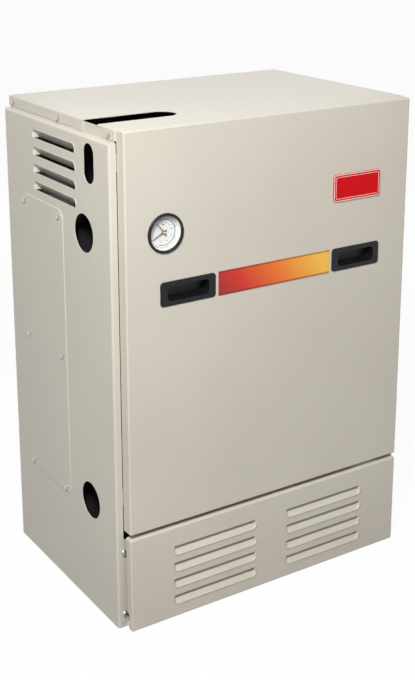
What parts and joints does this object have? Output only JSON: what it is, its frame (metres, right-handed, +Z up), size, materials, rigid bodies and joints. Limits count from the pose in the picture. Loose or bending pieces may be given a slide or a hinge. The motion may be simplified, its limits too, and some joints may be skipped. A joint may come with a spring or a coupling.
{
  "type": "floor-standing gas heating boiler",
  "caption": "Floor-standing gas heating boiler in a louvred sheet-steel jacket with a pull-off front door, a dial gauge and side pipe connections.",
  "frame": {"origin": "on the floor, under the middle of the boiler's outer box, flue collar included", "axes": "+Z up, the front door faces -Y, +X is to the right of someone facing the door"},
  "size_m": [0.606, 0.437, 0.851],
  "materials": {
    "jacket_paint": "smooth semi-gloss powder coat, warm grey-beige",
    "galvanised": "galvanised sheet steel",
    "zinc_screw": "zinc plated",
    "black_plastic": "moulded, fine grain",
    "plate_print": "warm graded stripe under clear film",
    "badge_red": "domed enamel with a light rim",
    "gauge_white": "white enamel",
    "gauge_glass": "clear",
    "pointer_black": "black enamel",
    "cast_iron": "sand cast",
    "machined_steel": "machined",
    "insulation": "glass wool with foil facing",
    "refractory": "fibre board",
    "burner_steel": "aluminised steel",
    "black_pipe": "black iron pipe",
    "brass": "machined",
    "aluminium": "die cast",
    "motor_paint": "dark green enamel",
    "grey_plastic": "moulded",
    "porcelain": "glazed",
    "red_plastic": "moulded"
  },
  "bodies": {
    "boiler": {"access_cover_screws": "zinc_screw", "aquastat_case": "grey_plastic", "base_pan": "galvanised", "burner_box": "galvanised", "burner_orifices": "brass", "burner_tubes": "burner_steel", "circulator_motor": "motor_paint", "circulator_volute": "motor_paint", "control_box": "galvanised", "door_catches": "galvanised", "drain_valve_body": "brass", "flue_collar": "galvanised", "flue_collector": "galvanised", "gas_manifold": "black_pipe", "gas_valve_body": "aluminium", "gauge_case": "gauge_white", "gauge_dial": "gauge_white", "gauge_glass": "gauge_glass", "igniter_and_flame_sensor": "porcelain", "ignition_module": "grey_plastic", "inducer_housing": "galvanised", "inducer_motor": "aluminium", "jacket_insulation": "insulation", "jacket_screws": "zinc_screw", "left_access_cover": "jacket_paint", "left_end_section": "cast_iron", "left_side_panel": "jacket_paint", "lower_front_panel": "jacket_paint", "middle_sections": "cast_iron", "pressure_switch": "grey_plastic", "push_nipples": "machined_steel", "rear_panel": "galvanised", "refractory_board": "refractory", "relief_valve_body": "brass", "return_pipe": "black_pipe", "right_access_cover": "jacket_paint", "right_end_section": "cast_iron", "right_hole_blank": "jacket_paint", "right_side_panel": "jacket_paint", "rollout_switch": "black_plastic", "supply_pipe": "black_pipe", "supply_riser": "black_pipe", "tie_rods": "zinc_screw", "top_panel": "jacket_paint", "vestibule_panel": "galvanised"},
    "door": {"front_door": "jacket_paint", "left_door_handle": "black_plastic", "right_door_handle": "black_plastic", "name_plate": "plate_print", "badge": "badge_red", "gauge_bezel": "black_plastic"},
    "pressure_needle": {"pressure_pointer": "pointer_black"},
    "temperature_needle": {"temperature_pointer": "pointer_black"},
    "gas_knob": {"gas_valve_knob": "black_plastic"},
    "reset_button": {"rollout_reset_button": "red_plastic"},
    "inducer_rotor": {"inducer_wheel": "burner_steel"},
    "circulator_rotor": {"circulator_impeller": "brass"},
    "relief_handle": {"relief_lever": "machined_steel"},
    "drain_handwheel": {"drain_valve_handle": "red_plastic"},
    "aquastat_knob": {"aquastat_dial": "black_plastic"}
  },
  "joints": [
    {"name": "front_door_pull", "type": "slide", "parent": "boiler", "child": "door", "axis": [0, -1, 0], "range_m": [0, 0.25]},
    {"name": "pressure_pointer_turn", "type": "hinge", "parent": "boiler", "child": "pressure_needle", "pos_m": [-0.212, -0.2116, 0.683], "axis": [0, 1, 0], "range_deg": [0, 80]},
    {"name": "temperature_pointer_turn", "type": "hinge", "parent": "boiler", "child": "temperature_needle", "pos_m": [-0.212, -0.2102, 0.683], "axis": [0, -1, 0], "range_deg": [0, 125]},
    {"name": "gas_knob_turn", "type": "hinge", "parent": "boiler", "child": "gas_knob", "pos_m": [0.208, -0.1045, 0.235], "axis": [0, 0, 1], "range_deg": [0, 90]},
    {"name": "rollout_reset_press", "type": "slide", "parent": "boiler", "child": "reset_button", "axis": [0, 1, 0], "range_m": [0, 0.0025], "stiffness_N_per_m": 400, "springref_m": -0.002},
    {"name": "inducer_spin", "type": "hinge", "parent": "boiler", "child": "inducer_rotor", "pos_m": [0.06, 0.0605, 0.558], "axis": [0, 0, 1], "continuous": true},
    {"name": "circulator_spin", "type": "hinge", "parent": "boiler", "child": "circulator_rotor", "pos_m": [-0.152, -0.1045, 0.551], "axis": [1, 0, 0], "continuous": true},
    {"name": "relief_lever_lift", "type": "hinge", "parent": "boiler", "child": "relief_handle", "pos_m": [-0.212, -0.1045, 0.7691], "axis": [0, -1, 0], "range_deg": [0, 80]},
    {"name": "drain_valve_turn", "type": "hinge", "parent": "boiler", "child": "drain_handwheel", "pos_m": [-0.212, -0.1855, 0.2], "axis": [0, -1, 0], "range_deg": [0, 350]},
    {"name": "aquastat_dial_turn", "type": "hinge", "parent": "boiler", "child": "aquastat_knob", "pos_m": [0.134, -0.0975, 0.5275], "axis": [0, 1, 0], "range_deg": [0, 270]}
  ]
}
